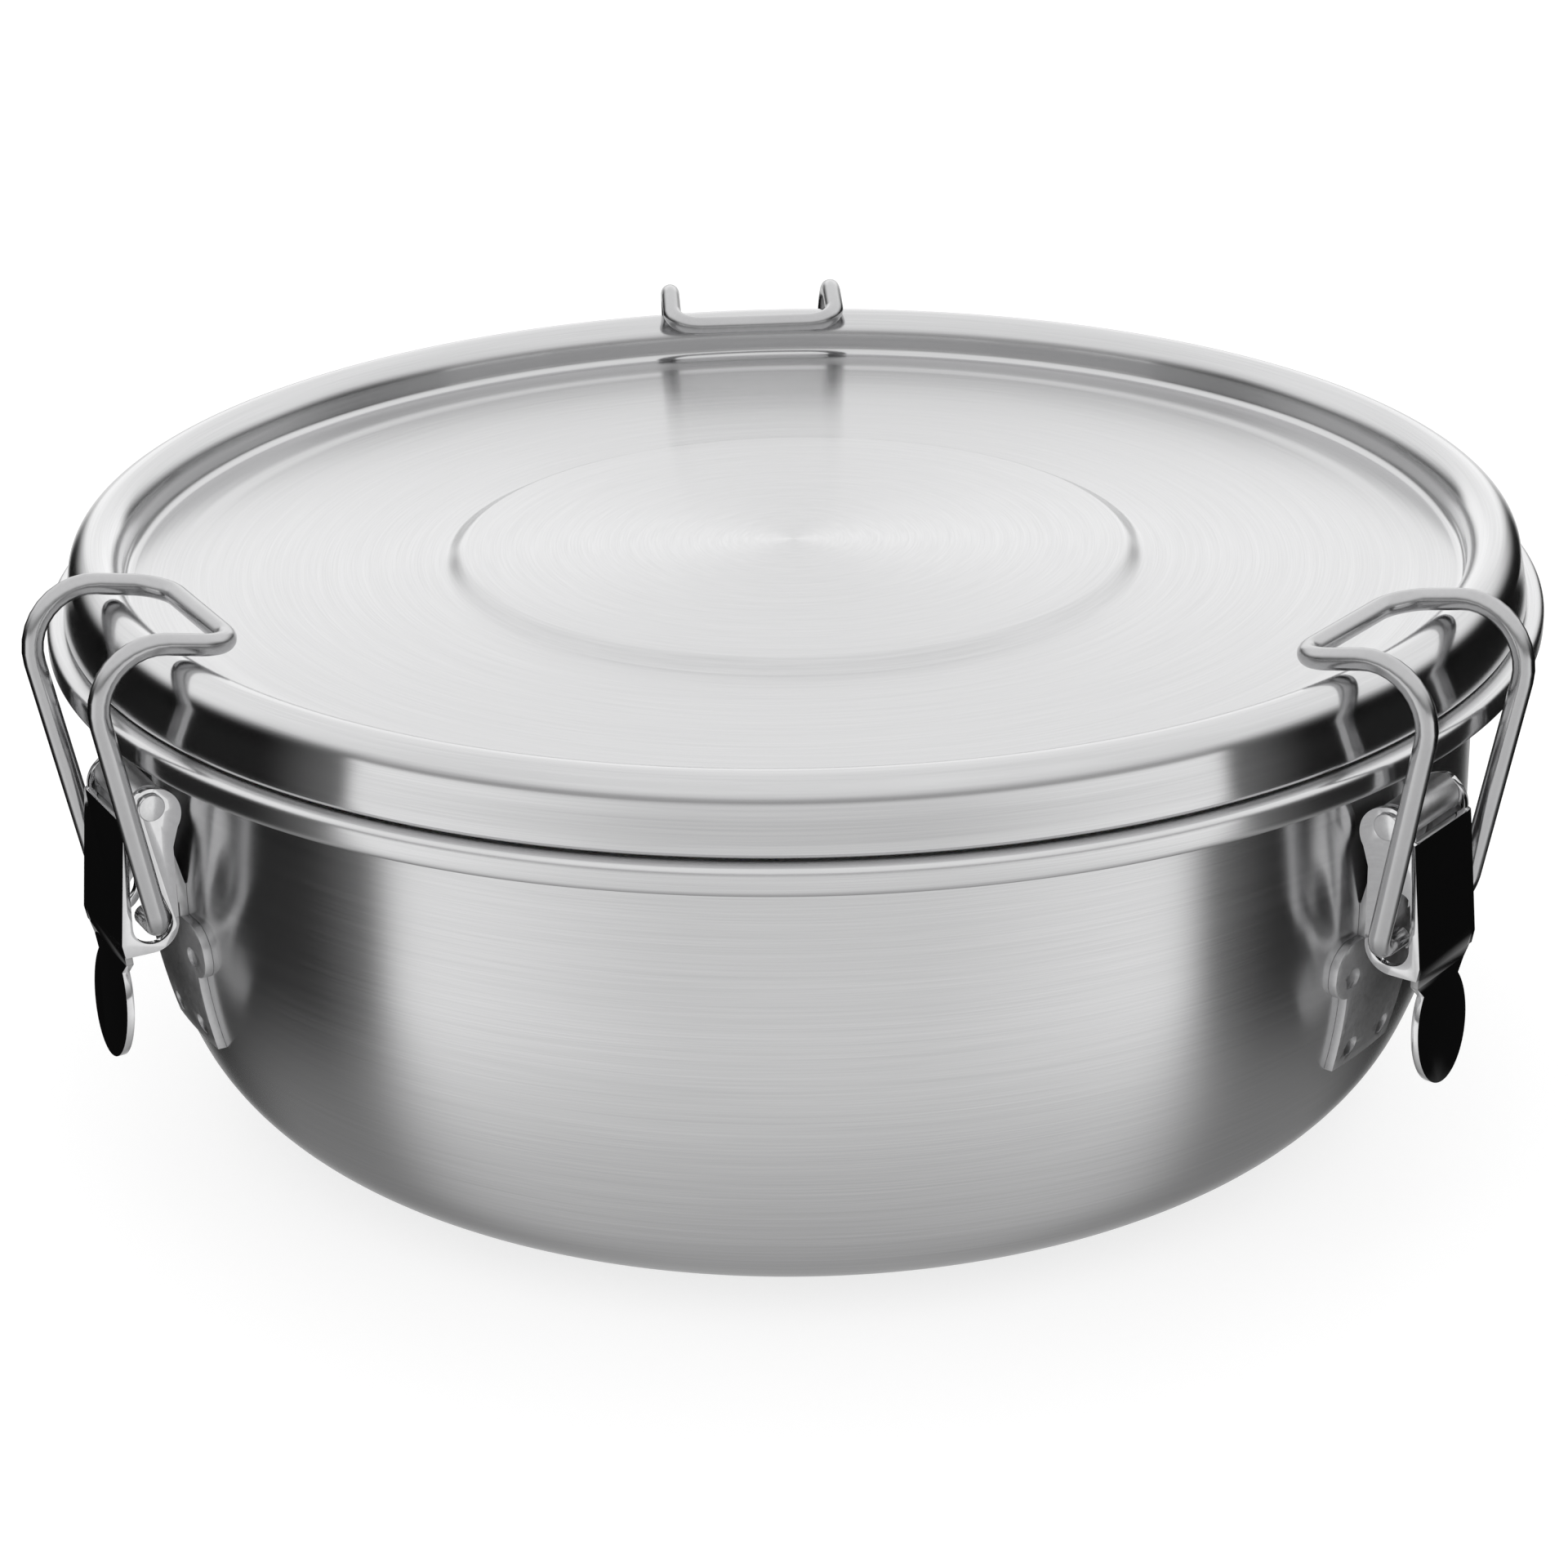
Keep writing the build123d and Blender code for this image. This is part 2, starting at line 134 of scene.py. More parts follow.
def finish_mesh(bm, name, sharp_angle):
    """Outward normals, smooth shading and hard edges only where the sheet really turns."""
    bmesh.ops.recalc_face_normals(bm, faces=bm.faces)
    mesh = bpy.data.meshes.new(name)
    bm.to_mesh(mesh)
    bm.free()
    mesh.shade_smooth()
    mesh.set_sharp_from_angle(angle=radians(sharp_angle))
    return mesh


def on_arc(centre, radius, angle):
    return (centre[0] + radius * cos(radians(angle)), centre[1] + radius * sin(radians(angle)))


def arc(centre, radius, start, end, steps):
    """Points along an arc, both ends included, angles in degrees."""
    return [on_arc(centre, radius, start + (end - start) * i / steps) for i in range(steps + 1)]


def squared_arc(centre, radius, start, end, steps, squareness):
    """An arc of a superellipse: a rolled edge pressed flat on its sides."""
    points = []
    for i in range(steps + 1):
        angle = radians(start + (end - start) * i / steps)
        across = copysign(abs(cos(angle)) ** (2 / squareness), cos(angle))
        upward = copysign(abs(sin(angle)) ** (2 / squareness), sin(angle))
        points.append((centre[0] + radius * across, centre[1] + radius * upward))
    return points


def ramp(start, end, steps):
    """A smooth S-shaped slope between two points of a profile."""
    points = []
    for i in range(steps + 1):
        share = i / steps
        eased = (1 - cos(pi * share)) / 2
        points.append((start[0] + (end[0] - start[0]) * share, start[1] + (end[1] - start[1]) * eased))
    return points


def divided(start, end, steps):
    """Points along a straight run, without its first one."""
    return [
        (start[0] + (end[0] - start[0]) * i / steps, start[1] + (end[1] - start[1]) * i / steps)
        for i in range(1, steps + 1)
    ]


def lathe(name, profile, sharp_angle=30):
    """Turn a closed profile of (radius, height) points round the Z axis. Its ends may lie on the axis."""
    bm = bmesh.new()
    rings = []
    for radius, height in profile:
        if radius < 1e-7:
            rings.append([bm.verts.new((0, 0, height))] * ROUND_SEGMENTS)
            continue
        turn = [2 * pi * i / ROUND_SEGMENTS for i in range(ROUND_SEGMENTS)]
        rings.append([bm.verts.new((radius * cos(a), radius * sin(a), height)) for a in turn])
    open_at_axis = profile[0][0] < 1e-7
    pairs = list(zip(rings, rings[1:]))
    if not open_at_axis:
        pairs.append((rings[-1], rings[0]))
    for low, high in pairs:
        for i in range(ROUND_SEGMENTS):
            j = (i + 1) % ROUND_SEGMENTS
            corners = [low[i], low[j], high[j], high[i]]
            unique = [v for k, v in enumerate(corners) if v not in corners[:k]]
            if len(unique) > 2:
                bm.faces.new(unique)
    return finish_mesh(bm, name, sharp_angle)


def bowl_profile():
    """The drawn bowl's section: outside from the axis up to the curled bead, then back down inside."""
    belly = (WALL_R - BELLY_RADIUS, WALL_STRAIGHT_BOTTOM)
    end = on_arc(belly, BELLY_RADIUS, -BELLY_TURN)
    heel_radius = end[1] / (1 - sin(radians(BELLY_TURN)))
    heel = (end[0] - heel_radius * cos(radians(BELLY_TURN)), heel_radius)
    ledge_z = BEAD[1] - BEAD_RADIUS
    neck = (WALL_R + NECK_FILLET, ledge_z - NECK_FILLET)
    outside = [(0, 0)] + divided((0, 0), (heel[0], 0), 8)[:-1]
    outside += arc(heel, heel_radius, -90, -BELLY_TURN, HEEL_STEPS)[:-1]
    outside += arc(belly, BELLY_RADIUS, -BELLY_TURN, 0, BELLY_STEPS)
    outside += divided((WALL_R, WALL_STRAIGHT_BOTTOM), (WALL_R, neck[1]), 6)[:-1]
    outside += arc(neck, NECK_FILLET, 180, 90, FILLET_STEPS)
    outside += squared_arc(BEAD, BEAD_RADIUS, -90, 180, BEAD_STEPS, BEAD_SQUARENESS)
    inside = arc(BEAD, BEAD_RADIUS - SHEET, 180, -90, BEAD_STEPS // 2)
    inside += arc(neck, NECK_FILLET + SHEET, 90, 180, FILLET_STEPS)
    inside += divided((WALL_R - SHEET, neck[1]), (WALL_R - SHEET, WALL_STRAIGHT_BOTTOM), 6)[:-1]
    inside += arc(belly, BELLY_RADIUS - SHEET, 0, -BELLY_TURN, BELLY_STEPS)
    inside += arc(heel, heel_radius - SHEET, -BELLY_TURN, -90, HEEL_STEPS)[1:]
    inside += divided((heel[0], SHEET), (0, SHEET), 8)
    return outside + inside


def lid_side(offset):
    """One face of the lid's sheet, from the skirt's edge over the crown to the axis."""
    radius = CROWN_RADIUS + offset
    wall_r = CROWN[0] - radius
    panel_z = PANEL_Z + offset
    fillet = PANEL_FILLET - offset
    corner = (wall_r - fillet, panel_z + fillet)
    low_z = panel_z - STEP_DROP
    top_z = low_z + BOSS_RISE
    points = [(SKIRT_BOTTOM[0] - SHEET, SKIRT_BOTTOM[1])]
    if offset == 0:
        curl = (SKIRT_BOTTOM[0] - SKIRT_CURL, SKIRT_BOTTOM[1] + SKIRT_CURL)
        points = arc(curl, SKIRT_CURL, -90, 0, FILLET_STEPS)
    points += divided(points[-1], (CROWN[0] + radius, CROWN[1]), 4)[:-1]
    points += arc(CROWN, radius, 0, 180, CROWN_STEPS)
    points += arc(corner, fillet, 0, -90, FILLET_STEPS)
    points += ramp((STEP_R + STEP_WIDTH / 2, panel_z), (STEP_R - STEP_WIDTH / 2, low_z), 6)
    points += divided((STEP_R - STEP_WIDTH / 2, low_z), (BOSS_OUTER_R, low_z), 8)[:-1]
    points += ramp((BOSS_OUTER_R, low_z), (BOSS_INNER_R, top_z), BOSS_STEPS)
    points += divided((BOSS_INNER_R, top_z), (0, top_z), 10)
    return points


def lid_profile():
    return lid_side(-SHEET)[::-1] + lid_side(0)


def gasket_profile():
    """The gasket's section: a full round top and two soft lips under it."""
    inner_r = CROWN[0] - CROWN_RADIUS + SHEET
    outer_r = GASKET_HIGH.x
    bottom = GASKET_LOW.z
    width = outer_r - inner_r
    middle = inner_r + width / 2
    lip = width / 8
    top = (middle, GASKET_HIGH.z - width / 2)
    groove = (middle, bottom + GASKET_GROOVE)
    points = arc((inner_r + lip, bottom + lip), lip, 180, 300, FILLET_STEPS)
    points += ramp((inner_r + 2.2 * lip, bottom + 0.5 * lip), groove, 6)
    points += ramp(groove, (outer_r - 2.2 * lip, bottom + 0.5 * lip), 6)[1:]
    points += arc((outer_r - lip, bottom + lip), lip, 240, 360, FILLET_STEPS)
    points += arc(top, width / 2, 0, 180, 20)
    return points


def filleted(corners, radii, steps=10):
    """A polyline's corners rounded by arcs of these radii, as evenly turned points."""
    path = [corners[0]]
    for before, corner, after, radius in zip(corners, corners[1:], corners[2:], radii):
        back = (before - corner).normalized()
        ahead = (after - corner).normalized()
        half = back.angle(ahead) / 2
        reach = radius / (sin(half) / cos(half))
        centre = corner + (back + ahead).normalized() * (radius / sin(half))
        start = corner + back * reach - centre
        axis = start.cross(corner + ahead * reach - centre)
        sweep = start.angle(corner + ahead * reach - centre)
        for i in range(steps + 1):
            path.append(centre + Matrix.Rotation(sweep * i / steps, 3, axis) @ start)
    path.append(corners[-1])
    return path


def tube(name, path, radius):
    """A round wire along a path, with slightly rounded ends."""
    bm = bmesh.new()
    tangents = [(b - a).normalized() for a, b in zip(path, path[1:])]
    tangents = [tangents[0]] + [(a + b).normalized() for a, b in zip(tangents, tangents[1:])] + [tangents[-1]]
    side = tangents[0].orthogonal().normalized()
    cap = radius * WIRE_END
    stations = []
    for share, inset in WIRE_END_STEPS:
        stations.append((path[0] + tangents[0] * cap * inset, tangents[0], radius * share))
    stations.append((path[0] + tangents[0] * cap, tangents[0], radius))
    stations += [(point, tangent, radius) for point, tangent in zip(path[1:-1], tangents[1:-1])]
    stations.append((path[-1] - tangents[-1] * cap, tangents[-1], radius))
    for share, inset in reversed(WIRE_END_STEPS):
        stations.append((path[-1] - tangents[-1] * cap * inset, tangents[-1], radius * share))
    rings = []
    for point, tangent, size in stations:
        side = (side - tangent * side.dot(tangent)).normalized()
        up = tangent.cross(side)
        turn = [2 * pi * i / WIRE_SIDES for i in range(WIRE_SIDES)]
        rings.append([bm.verts.new(point + (side * cos(a) + up * sin(a)) * size) for a in turn])
    for low, high in zip(rings, rings[1:]):
        for i in range(WIRE_SIDES):
            j = (i + 1) % WIRE_SIDES
            bm.faces.new((low[i], low[j], high[j], high[i]))
    bm.faces.new(rings[0][::-1])
    bm.faces.new(rings[-1])
    return finish_mesh(bm, name, 50)


def bail_corners():
    """Corners of the bail's centre line at azimuth 0, from one foot over the crown to the other."""
    reach = PIVOT[0] - HOOK[0] - ARM_LEAN * (PIVOT[1] - HOOK[1])
    shoulder_z = HOOK[1] + HOOK_SLOPE * reach / (1 - ARM_LEAN * HOOK_SLOPE)
    shoulder_r = PIVOT[0] + ARM_LEAN * (shoulder_z - PIVOT[1])
    half = [
        Vector((PIVOT[0], -FOOT_END_HALF, PIVOT[1])),
        Vector((PIVOT[0], -FOOT_BEND_HALF, PIVOT[1])),
        Vector((shoulder_r, -ARM_HALF, shoulder_z)),
        Vector((HOOK[0], -ARM_HALF, HOOK[1])),
    ]
    return half + [Vector((v.x, -v.y, v.z)) for v in reversed(half)]


def softened(node, width):
    """A CAD node's shape with clean flat faces and its sheet edges rounded."""
    bm = bmesh.new()
    bm.from_mesh(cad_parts[node].data)
    bmesh.ops.remove_doubles(bm, verts=bm.verts, dist=1e-6)
    bmesh.ops.dissolve_limit(bm, angle_limit=radians(FLAT_WITHIN), verts=bm.verts, edges=bm.edges)
    edges = [e for e in bm.edges if e.calc_face_angle(0) > radians(EDGE_FROM)]
    bmesh.ops.bevel(bm, geom=edges, offset=width, segments=2, profile=0.5, affect="EDGES", clamp_overlap=True)
    return finish_mesh(bm, node + "_mesh", 40)


# ---------------------------------------------------------------- materials

# Brushing: how often the noise turns round the axis, and how often across the rings per metre
FINE_BRUSHING = (3.5, 9000.0)
BROAD_BRUSHING = (2.2, 1500.0)
BRUSHING_DEPTH = 0.003 * MM
GRAIN_DEPTH = 0.01 * MM

# A polished stretch's roughness over the brushed one's, and how polished the bowl's bead is
POLISH = 0.68
BEAD_POLISH = 0.3
BEAD_POLISH_FROM = RIM - 4.0 * MM
BEAD_POLISH_TO = RIM - 2.6 * MM


def node(tree, kind, **settings):
    made = tree.nodes.new(kind)
    for key, value in settings.items():
        setattr(made, key, value)
    return made


def math_node(tree, operation, first, second=0.0):
    made = node(tree, "ShaderNodeMath", operation=operation)
    for socket, value in zip(made.inputs, (first, second)):
        if isinstance(value, bpy.types.NodeSocket):
            tree.links.new(value, socket)
        else:
            socket.default_value = value
    return made.outputs[0]


def weighted(tree, first, first_share, second, second_share):
    """The sum of two values, each times its share."""
    first_part = math_node(tree, "MULTIPLY", first, first_share)
    second_part = math_node(tree, "MULTIPLY", second, second_share)
    return math_node(tree, "ADD", first_part, second_part)


def vector_node(tree, operation, first, second=None):
    made = node(tree, "ShaderNodeVectorMath", operation=operation)
    tree.links.new(first, made.inputs[0])
    if isinstance(second, bpy.types.NodeSocket):
        tree.links.new(second, made.inputs[1])
    elif isinstance(second, tuple):
        made.inputs[1].default_value = second
    elif second is not None:
        made.inputs["Scale"].default_value = second
    return made


def mapped(tree, value, low, high, to_low, to_high, smooth=False):
    made = node(tree, "ShaderNodeMapRange", interpolation_type="SMOOTHSTEP" if smooth else "LINEAR")
    tree.links.new(value, made.inputs["Value"])
    for socket, number in zip(("From Min", "From Max", "To Min", "To Max"), (low, high, to_low, to_high)):
        made.inputs[socket].default_value = number
    return made.outputs["Result"]


def blend(tree, share, first, second):
    """From first to second as share goes from 0 to 1; either may be a number."""
    made = node(tree, "ShaderNodeMix", data_type="FLOAT")
    for socket, value in zip(("Factor", "A", "B"), (share, first, second)):
        if isinstance(value, bpy.types.NodeSocket):
            tree.links.new(value, made.inputs[socket])
        else:
            made.inputs[socket].default_value = value
    return made.outputs["Result"]


def noise(tree, vector, scale, detail, roughness=0.55):
    made = node(tree, "ShaderNodeTexNoise")
    made.inputs["Scale"].default_value = scale
    made.inputs["Detail"].default_value = detail
    made.inputs["Roughness"].default_value = roughness
    tree.links.new(vector, made.inputs["Vector"])
    return made.outputs["Fac"]


def new_material(name, metallic, roughness):
    """A material, its tree and its Principled shader, with the even values set on the shader."""
    material = bpy.data.materials.new(name)
    material.use_nodes = True
    tree = material.node_tree
    shader = tree.nodes["Principled BSDF"]
    shader.inputs["Metallic"].default_value = metallic
    shader.inputs["Roughness"].default_value = roughness
    return material, tree, shader


def polar_position(tree, around, across):
    """A texture position that runs slowly round the axis and quickly across it, with no seam."""
    position = node(tree, "ShaderNodeTexCoord").outputs["Object"]
    flat = vector_node(tree, "MULTIPLY", position, (1.0, 1.0, 0.0))
    radius = vector_node(tree, "LENGTH", flat.outputs[0]).outputs["Value"]
    direction = vector_node(tree, "NORMALIZE", flat.outputs[0])
    turned = vector_node(tree, "SCALE", direction.outputs[0], around)
    parts = node(tree, "ShaderNodeSeparateXYZ")
    tree.links.new(position, parts.inputs[0])
    reach = math_node(tree, "ADD", radius, parts.outputs["Z"])
    lifted = node(tree, "ShaderNodeCombineXYZ")
    tree.links.new(math_node(tree, "MULTIPLY", reach, across), lifted.inputs["Z"])
    return vector_node(tree, "ADD", turned.outputs[0], lifted.outputs[0]).outputs[0]


def steel_grey(level):
    """The very slightly cool grey of stainless steel."""
    return (level, level, level + 0.005)


def grey_range(tree, shader, factor, dark, light):
    """Base colour between two near greys, by a texture."""
    mix = node(tree, "ShaderNodeMix", data_type="RGBA")
    tree.links.new(factor, mix.inputs["Factor"])
    mix.inputs["A"].default_value = (*dark, 1.0)
    mix.inputs["B"].default_value = (*light, 1.0)
    tree.links.new(mix.outputs["Result"], shader.inputs["Base Color"])


def add_bump(tree, shader, height, strength, distance):
    bump = node(tree, "ShaderNodeBump")
    bump.inputs["Strength"].default_value = strength
    bump.inputs["Distance"].default_value = distance
    tree.links.new(height, bump.inputs["Height"])
    tree.links.new(bump.outputs["Normal"], shader.inputs["Normal"])


def spun_steel(name, roughness, dark, light, polished):
    """Steel brushed in rings: highlights stay narrow along the rings and spread across them.

    polished is a function of the tree and the position's radius and height, 1 where it is smoother.
    """
    material, tree, shader = new_material(name, 1.0, roughness)
    shader.inputs["Anisotropic"].default_value = 0.9
    shader.inputs["Anisotropic Rotation"].default_value = 0.25
    tangent = node(tree, "ShaderNodeTangent", direction_type="RADIAL", axis="Z")
    tree.links.new(tangent.outputs["Tangent"], shader.inputs["Tangent"])
    fine = noise(tree, polar_position(tree, *FINE_BRUSHING), 1.0, 4.0, 0.6)
    broad = noise(tree, polar_position(tree, *BROAD_BRUSHING), 1.0, 3.0)
    streak = weighted(tree, fine, 0.7, broad, 0.3)
    grey_range(tree, shader, mapped(tree, streak, 0.35, 0.65, 0.0, 1.0), dark, light)
    position = node(tree, "ShaderNodeTexCoord").outputs["Object"]
    parts = node(tree, "ShaderNodeSeparateXYZ")
    tree.links.new(position, parts.inputs[0])
    flat = vector_node(tree, "MULTIPLY", position, (1.0, 1.0, 0.0))
    radius = vector_node(tree, "LENGTH", flat.outputs[0]).outputs["Value"]
    smooth = polished(tree, radius, parts.outputs["Z"])
    brushed = mapped(tree, streak, 0.3, 0.7, roughness * 0.94, roughness * 1.06)
    rough = blend(tree, smooth, brushed, roughness * POLISH)
    tree.links.new(rough, shader.inputs["Roughness"])
    add_bump(tree, shader, streak, 0.09, BRUSHING_DEPTH)
    return material


def rim_polish(tree, radius, height):
    """The bowl's curled bead."""
    return mapped(tree, height, BEAD_POLISH_FROM, BEAD_POLISH_TO, 0.0, BEAD_POLISH)


def crown_polish(tree, radius, height):
    """The lid's crown and skirt."""
    return mapped(tree, radius, STEP_R, CROWN[0] - CROWN_RADIUS, 0.0, 1.0)


def satin_steel(name, roughness, dark, light, grain, bump):
    """Plain rolled or drawn steel with a fine even grain."""
    material, tree, shader = new_material(name, 1.0, roughness)
    position = node(tree, "ShaderNodeTexCoord").outputs["Object"]
    fine = noise(tree, position, grain, 4.0)
    broad = noise(tree, position, grain / 12, 2.0)
    mixed = weighted(tree, fine, 0.5, broad, 0.5)
    grey_range(tree, shader, mapped(tree, mixed, 0.35, 0.65, 0.0, 1.0), dark, light)
    rough = mapped(tree, mixed, 0.35, 0.65, roughness * 0.85, roughness * 1.15)
    tree.links.new(rough, shader.inputs["Roughness"])
    add_bump(tree, shader, fine, bump, GRAIN_DEPTH)
    return material


def rubber(name):
    """Milky silicone with a faint mottle."""
    material, tree, shader = new_material(name, 0.0, 0.45)
    position = node(tree, "ShaderNodeTexCoord").outputs["Object"]
    mottle = noise(tree, position, 900.0, 3.0)
    grey_range(tree, shader, mapped(tree, mottle, 0.3, 0.7, 0.0, 1.0), (0.70, 0.71, 0.70), (0.78, 0.79, 0.78))
    shader.inputs["Subsurface Weight"].default_value = 0.15
    shader.inputs["Subsurface Scale"].default_value = 1.0 * MM
    add_bump(tree, shader, mottle, 0.2, GRAIN_DEPTH)
    return material


# ---------------------------------------------------------------- the lunch box


def dress():
    """Every piece, on its body and in its finish."""
    wall = spun_steel("wall_steel", 0.24, steel_grey(0.60), steel_grey(0.68), rim_polish)
    panel = spun_steel("lid_steel", 0.24, steel_grey(0.57), steel_grey(0.63), crown_polish)
    wire = satin_steel("wire_steel", 0.22, steel_grey(0.46), steel_grey(0.49), grain=1800.0, bump=0.003)
    lever = satin_steel("lever_steel", 0.08, steel_grey(0.60), steel_grey(0.66), grain=1500.0, bump=0.04)
    plate = satin_steel("bracket_steel", 0.42, steel_grey(0.52), steel_grey(0.62), grain=1800.0, bump=0.15)
    pin = satin_steel("pin_steel", 0.16, steel_grey(0.60), steel_grey(0.68), grain=2500.0, bump=0.05)
    seal = rubber("silicone")
    new_piece("bowl_shell", lathe("bowl_shell", bowl_profile()), "bowl", "brushed_steel", wall, "bowl")
    new_piece("lid_shell", lathe("lid_shell", lid_profile()), "lid", "spun_steel", panel, "lid")
    new_piece("gasket_ring", lathe("gasket_ring", gasket_profile()), "lid", "gasket", seal, "gasket")
    corners = bail_corners()
    for name, azimuth in LATCHES.items():
        turn = Matrix.Rotation(radians(azimuth), 3, "Z")
        path = filleted([turn @ v for v in corners], BAIL_BENDS + BAIL_BENDS[::-1])
        bail = tube(name + "_bail_wire", path, WIRE_RADIUS)
        new_piece(name + "_bail_wire", bail, name + "_bail", "bail_wire", wire, name + "_bail")
        for part, body, slot_name, material in (
            ("lever", name + "_lever", "polished_lever", lever),
            ("bracket", "bowl", "bracket_steel", plate),
            ("hinge_pin", "bowl", "pin_steel", pin),
        ):
            cad_node = name + "_" + part
            mesh = softened(cad_node, EDGE_ROUNDING)
            new_piece(cad_node + "_metal", mesh, body, slot_name, material, cad_node)


# ---------------------------------------------------------------- studio

CAMERA_PLACE = (-0.00153, -0.4210, 0.20836)
CAMERA_PITCH = 22.85
CAMERA_ROLL = -0.92
CAMERA_LENS = 92.4

FLOOR_HALF_SIZE = 12.0
FLOOR_DROP = 0.2 * MM
FLOOR_GREY = 0.4
FLOOR_GLOW = 0.7

# Dark side screens: the share of sideways reach at which each begins, how far they open low down, how soft
# their front edge is at table height and below, and how far they reach round the back
SCREEN_EDGE_LEFT = 0.39
SCREEN_EDGE_RIGHT = 0.47
SCREEN_OPENING = 0.30
SCREEN_SOFTNESS = 0.05
SCREEN_SOFTNESS_BELOW = 0.75
SCREEN_REACH_BACK = 2.4

# Ramps of light: start and end, in degrees of height or in shares of reach, then the levels at both
SCREEN_FADE = (0.0, 26.0, 1.0, 0.0)
SCREEN_LEVEL = (-43.0, -30.0, 0.27, 0.005)
SCREEN_GLOW = (-0.32, 0.0, 0.0, 0.17)
BACK_OPENING = (-0.25, 0.15, 0.0, 1.0)
FRONT_LOW = (-82.0, -22.0, 0.50, 0.92)
FRONT_SKY = (6.0, 36.0, 0.30, 1.06)
BACK_LOW = (-60.0, -22.0, 0.42, 0.85)
BACK_SKY = (12.0, 26.0, 1.34, 1.16)
BACK_TO_FRONT = (-0.35, 0.1, 0.0, 1.0)
SIDE_LIFT = (0.25, 0.9, 0.0, 0.3)
SIDE_LIFT_BY_HEIGHT = (-50.0, -22.0, -0.1, 1.0)
LOW_TO_SKY = (2.0, 5.5, 0.0, 1.0)
SKY_TO_CEILING = (40.0, 75.0, 0.0, 1.0)
CEILING_LEVEL = 1.08


def add_camera():
    """The camera, looking along +Y and down, turned a little about its own axis."""
    pitch = radians(CAMERA_PITCH)
    roll = radians(CAMERA_ROLL)
    forward = Vector((0, cos(pitch), -sin(pitch)))
    right = Vector((1, 0, 0))
    up = Vector((0, sin(pitch), cos(pitch)))
    right, up = right * cos(roll) + up * sin(roll), up * cos(roll) - right * sin(roll)
    camera = bpy.data.objects.new("camera", bpy.data.cameras.new("camera"))
    bpy.context.scene.collection.objects.link(camera)
    camera.data.lens = CAMERA_LENS
    camera.data.sensor_width = 36.0
    camera.data.clip_start = 0.01
    camera.data.clip_end = 100.0
    place = Matrix((right, up, -forward)).transposed().to_4x4()
    place.translation = CAMERA_PLACE
    camera.matrix_world = place
    bpy.context.scene.camera = camera


def add_floor():
    """A plain pale floor. Steel mirrors the studio round it instead, as on a cut-out product shot."""
    bm = bmesh.new()
    bmesh.ops.create_grid(bm, x_segments=8, y_segments=8, size=FLOOR_HALF_SIZE)
    mesh = bpy.data.meshes.new("floor")
    bm.to_mesh(mesh)
    bm.free()
    material, tree, shader = new_material("floor_white", 0.0, 0.9)
    shader.inputs["Base Color"].default_value = (FLOOR_GREY, FLOOR_GREY, FLOOR_GREY, 1.0)
    shader.inputs["Specular IOR Level"].default_value = 0.1
    shader.inputs["Emission Color"].default_value = (1.0, 1.0, 1.0, 1.0)
    shader.inputs["Emission Strength"].default_value = FLOOR_GLOW
    mesh.materials.append(material)
    floor = bpy.data.objects.new("floor", mesh)
    floor.location.z = -FLOOR_DROP
    floor.visible_glossy = False
    bpy.context.scene.collection.objects.link(floor)


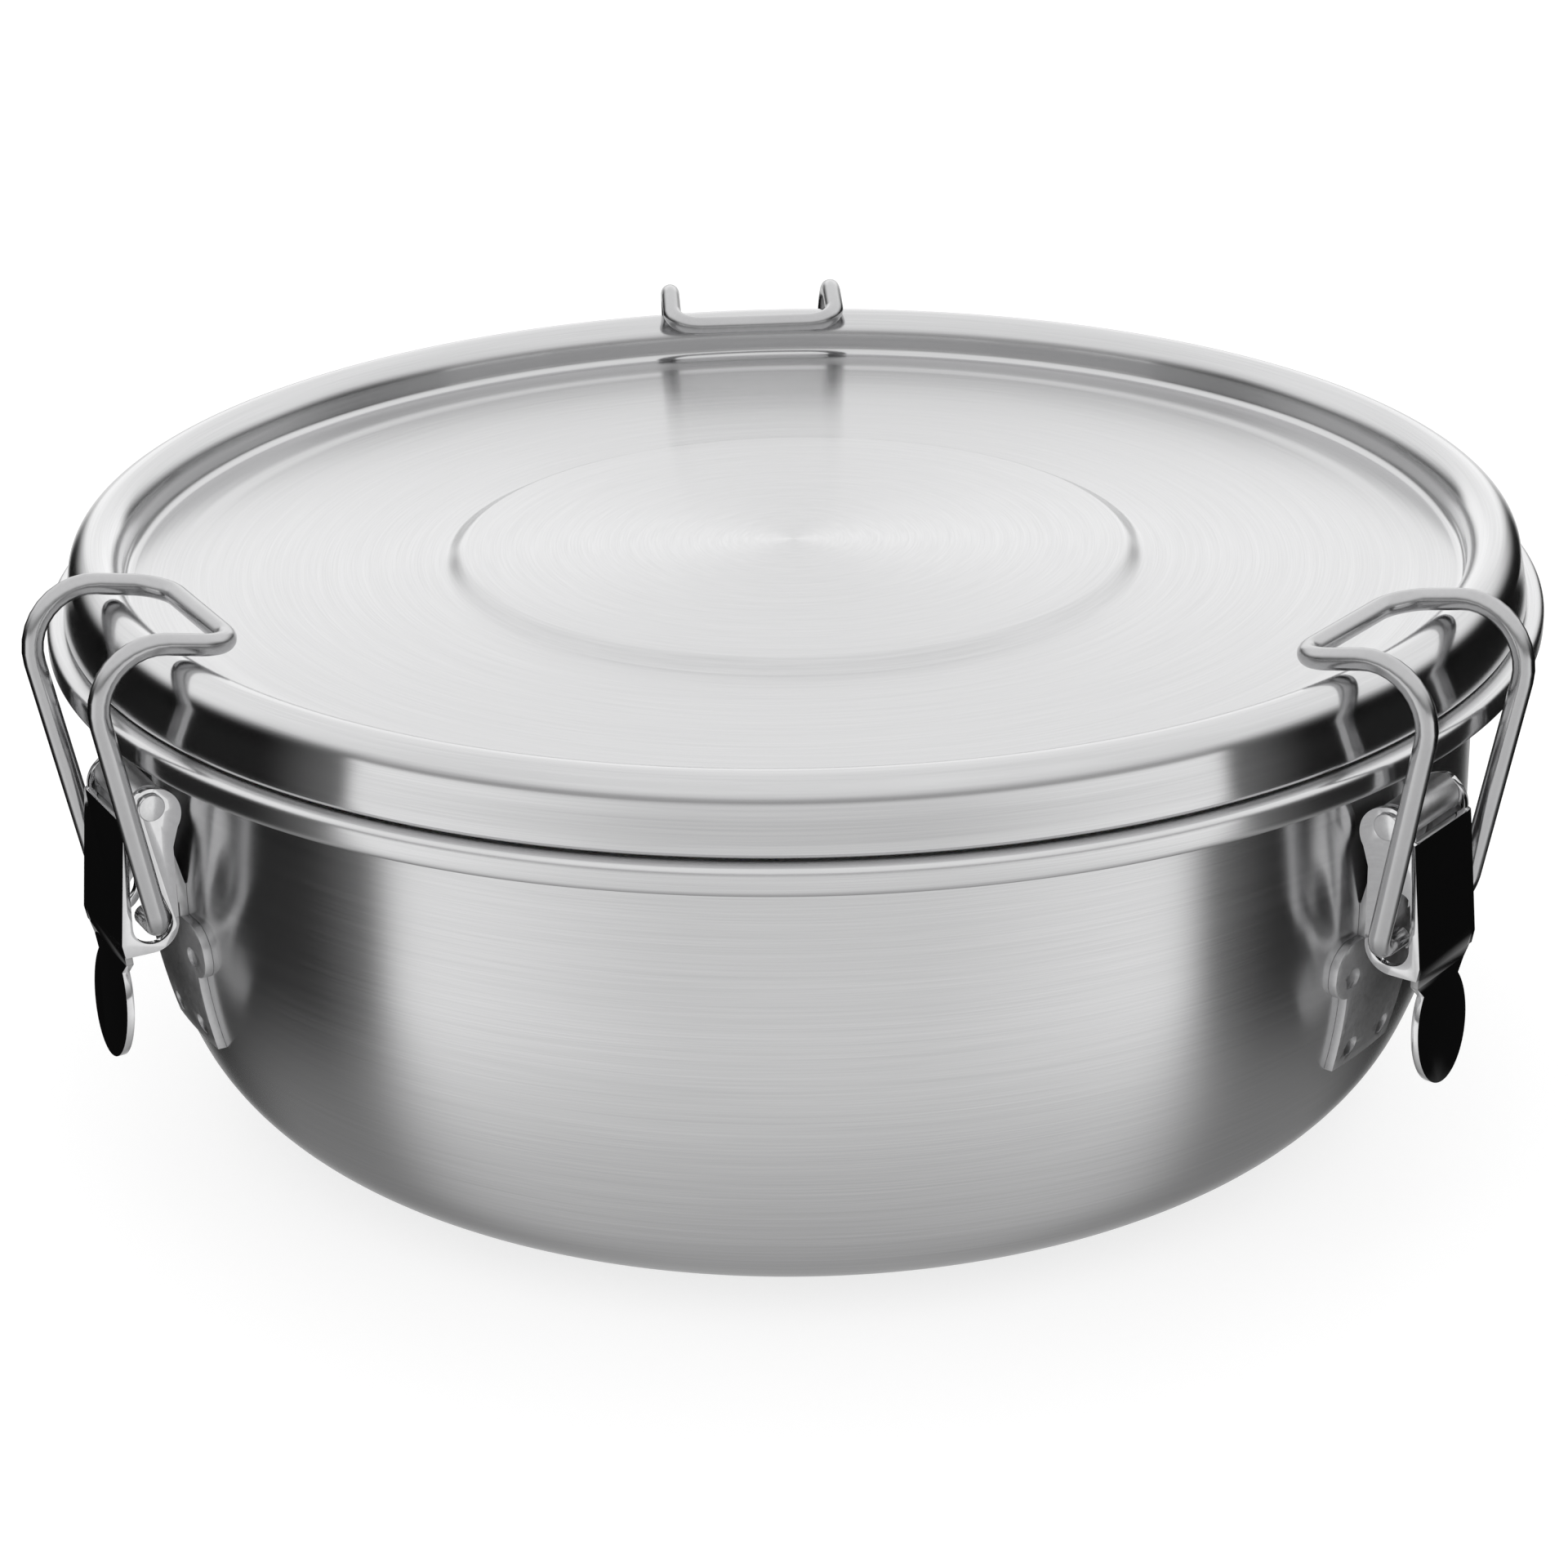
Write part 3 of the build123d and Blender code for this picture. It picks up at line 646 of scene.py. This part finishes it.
def screens(tree, sideways, aside, front, height, below):
    """How far a direction is on a dark side screen, from 0 to 1, and how strong the screen is there."""
    depth = math_node(tree, "MULTIPLY", below, below)
    share = mapped(tree, sideways, -0.1, 0.1, SCREEN_EDGE_LEFT, SCREEN_EDGE_RIGHT)
    edge = math_node(tree, "SUBTRACT", front, math_node(tree, "MULTIPLY", aside, share))
    edge = math_node(tree, "ADD", edge, math_node(tree, "MULTIPLY", depth, SCREEN_OPENING))
    softness = math_node(tree, "MULTIPLY", depth, SCREEN_SOFTNESS_BELOW)
    softness = math_node(tree, "ADD", softness, SCREEN_SOFTNESS)
    behind_edge = mapped(tree, math_node(tree, "DIVIDE", edge, softness), -0.5, 0.5, 1.0, 0.0, True)
    reach_back = math_node(tree, "MULTIPLY", aside, SCREEN_REACH_BACK)
    beside = mapped(tree, math_node(tree, "ADD", front, reach_back), *BACK_OPENING, True)
    on_screen = math_node(tree, "MULTIPLY", behind_edge, beside)
    on_screen = math_node(tree, "MULTIPLY", on_screen, mapped(tree, height, *SCREEN_FADE, True))
    glow = mapped(tree, edge, *SCREEN_GLOW, True)
    strength = math_node(tree, "ADD", mapped(tree, height, *SCREEN_LEVEL, True), glow)
    return on_screen, strength


def surroundings(tree, aside, front, height):
    """Strength of the lit studio outside the screens: low front and back, sky and ceiling."""
    lift = mapped(tree, aside, *SIDE_LIFT, True)
    lift = math_node(tree, "MULTIPLY", lift, mapped(tree, height, *SIDE_LIFT_BY_HEIGHT))
    front_low = mapped(tree, height, *FRONT_LOW, True)
    front_low = math_node(tree, "MULTIPLY", front_low, math_node(tree, "ADD", lift, 1.0))
    near = mapped(tree, front, *BACK_TO_FRONT, True)
    low = blend(tree, near, mapped(tree, height, *BACK_LOW, True), front_low)
    front_sky = mapped(tree, height, *FRONT_SKY, True)
    sky = blend(tree, near, mapped(tree, height, *BACK_SKY, True), front_sky)
    sky = blend(tree, mapped(tree, height, *SKY_TO_CEILING, True), sky, CEILING_LEVEL)
    return blend(tree, mapped(tree, height, *LOW_TO_SKY, True), low, sky)


def add_studio():
    """A white studio: a bright front, dark screens low on the left and on the right, and a soft ceiling."""
    world = bpy.data.worlds.new("studio")
    world.use_nodes = True
    bpy.context.scene.world = world
    tree = world.node_tree
    background = tree.nodes["Background"]
    direction = node(tree, "ShaderNodeTexCoord").outputs["Generated"]
    parts = node(tree, "ShaderNodeSeparateXYZ")
    tree.links.new(direction, parts.inputs[0])
    sideways = parts.outputs["X"]
    upward = parts.outputs["Z"]
    front = math_node(tree, "MULTIPLY", parts.outputs["Y"], -1.0)
    aside = math_node(tree, "ABSOLUTE", sideways)
    height = math_node(tree, "MULTIPLY", math_node(tree, "ARCSINE", upward), 180 / pi)
    below = math_node(tree, "MINIMUM", upward, 0.0)
    on_screen, screen_strength = screens(tree, sideways, aside, front, height, below)
    lit = surroundings(tree, aside, front, height)
    tree.links.new(blend(tree, on_screen, lit, screen_strength), background.inputs["Strength"])
    background.inputs["Color"].default_value = (1.0, 1.0, 1.0, 1.0)


dress()
add_camera()
add_floor()
add_studio()
bpy.context.scene.view_settings.view_transform = "Standard"
